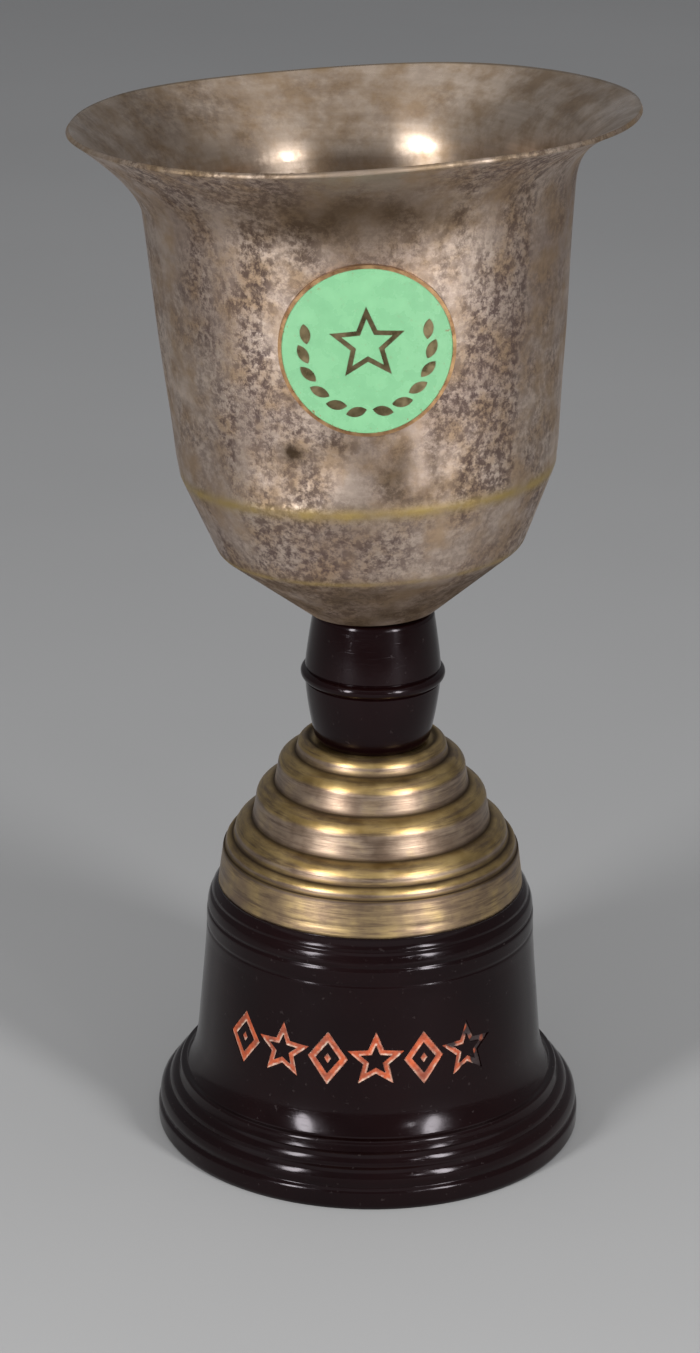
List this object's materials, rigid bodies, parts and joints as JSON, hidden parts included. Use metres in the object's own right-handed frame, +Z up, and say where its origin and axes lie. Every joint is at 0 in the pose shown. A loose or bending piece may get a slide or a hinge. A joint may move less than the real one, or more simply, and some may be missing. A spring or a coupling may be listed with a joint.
{
  "type": "cup trophy",
  "caption": "Cup trophy with a flared plated cup on a moulded knop, a stepped dome and a hollow bell-shaped base, with a round enamel badge and an engraved frieze.",
  "frame": {"origin": "centre of the round foot, on the surface that the trophy stands on", "axes": "+Z up through the base, the dome and the knop; -Y is the front, with the badge and the frieze; +X to the viewer's right. The cup leans 2.8 degrees towards -X and 2.4 degrees towards +Y."},
  "size_m": [0.1157, 0.1157, 0.224],
  "materials": {
    "silver_plate": "tarnished silver plate on brass, satin",
    "worn_plate": "brass with worn silver plate, polished",
    "dark_moulding": "near-black maroon phenolic moulding, glossy",
    "orange_paint": "orange filler paint, chipped at the edges",
    "badge_metal": "oxidised copper alloy",
    "mint_enamel": "hard enamel, satin gloss",
    "brass": "dull turned brass",
    "steel": "zinc-plated steel, dull"
  },
  "bodies": {
    "root": {"base": "dark_moulding", "base_inlay": "orange_paint", "base_washer": "steel", "lock_washer": "steel", "base_nut": "brass", "dome_cover": "worn_plate", "dome_spacer": "steel", "knop": "dark_moulding", "tie_rod": "steel", "cup_bowl": "silver_plate", "cup_washer": "brass", "cup_nut": "brass", "badge_plate": "badge_metal", "badge_enamel": "mint_enamel", "badge_pins": "badge_metal"}
  },
  "joints": []
}
